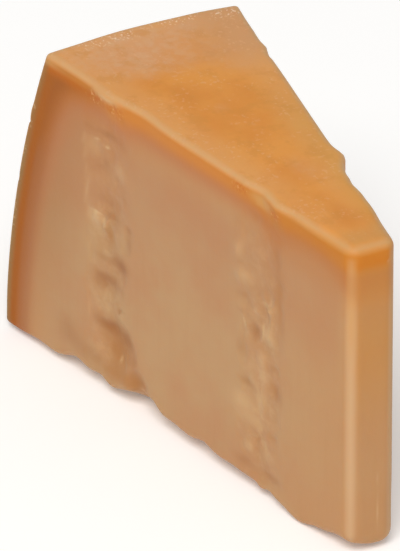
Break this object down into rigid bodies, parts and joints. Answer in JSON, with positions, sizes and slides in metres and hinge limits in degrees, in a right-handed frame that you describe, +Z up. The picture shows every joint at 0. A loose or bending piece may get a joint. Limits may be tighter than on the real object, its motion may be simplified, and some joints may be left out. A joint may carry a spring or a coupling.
{
  "type": "grana padano cheese wedge",
  "caption": "Wedge of hard aged cheese with a convex rind heel, a flat rind top, rough stripes down both cut faces and a point cut off square. Shown or served as food.",
  "frame": {"origin": "on the surface the cheese rests on, under the middle of its bounding box", "axes": "+X from the rind heel to the cut-off point, towards the wheel's centre; +Y across the wedge, away from the cut face that shows; +Z up, from the rough split to the rind of the wheel's flat side"},
  "size_m": [0.1759, 0.074, 0.1082],
  "materials": {
    "cheese": "waxy satin"
  },
  "bodies": {
    "root": {"cheese_wedge": "cheese"}
  },
  "joints": []
}
